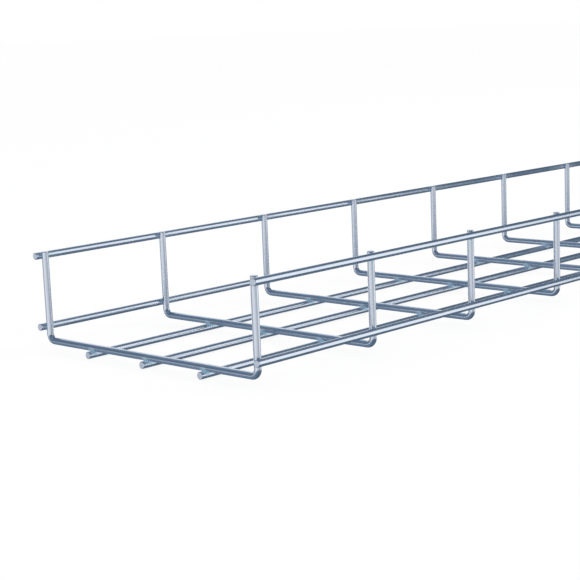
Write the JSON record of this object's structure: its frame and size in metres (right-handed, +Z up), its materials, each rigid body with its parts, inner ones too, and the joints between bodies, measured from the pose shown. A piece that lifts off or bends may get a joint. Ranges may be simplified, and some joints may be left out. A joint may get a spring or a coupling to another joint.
{
  "type": "wire mesh cable basket",
  "caption": "U-shaped open cable tray of welded round steel wire: bent cross wires carry straight long wires under the floor and along both sides; straight stock length, bright zinc finish",
  "frame": {"origin": "middle of the length and width, at the level that the floor wires stand on", "axes": "+X along the length, +Y from the front side to the back side, +Z up out of the open top"},
  "size_m": [3.01, 0.197, 0.0635],
  "materials": {
    "zinc_wire": "bright electro zinc plating on drawn steel wire, bluish, cut ends slightly lighter"
  },
  "bodies": {
    "root": {"floor_wire_front": "zinc_wire", "floor_wire_middle": "zinc_wire", "floor_wire_back": "zinc_wire", "low_side_wire_front": "zinc_wire", "low_side_wire_back": "zinc_wire", "top_side_wire_front": "zinc_wire", "top_side_wire_back": "zinc_wire", "cross_wire_01": "zinc_wire", "cross_wire_02": "zinc_wire", "cross_wire_03": "zinc_wire", "cross_wire_04": "zinc_wire", "cross_wire_05": "zinc_wire", "cross_wire_06": "zinc_wire", "cross_wire_07": "zinc_wire", "cross_wire_08": "zinc_wire", "cross_wire_09": "zinc_wire", "cross_wire_10": "zinc_wire", "cross_wire_11": "zinc_wire", "cross_wire_12": "zinc_wire", "cross_wire_13": "zinc_wire", "cross_wire_14": "zinc_wire", "cross_wire_15": "zinc_wire", "cross_wire_16": "zinc_wire", "cross_wire_17": "zinc_wire", "cross_wire_18": "zinc_wire", "cross_wire_19": "zinc_wire", "cross_wire_20": "zinc_wire", "cross_wire_21": "zinc_wire", "cross_wire_22": "zinc_wire", "cross_wire_23": "zinc_wire", "cross_wire_24": "zinc_wire", "cross_wire_25": "zinc_wire", "cross_wire_26": "zinc_wire", "cross_wire_27": "zinc_wire", "cross_wire_28": "zinc_wire", "cross_wire_29": "zinc_wire", "cross_wire_30": "zinc_wire", "cross_wire_31": "zinc_wire"}
  },
  "joints": []
}
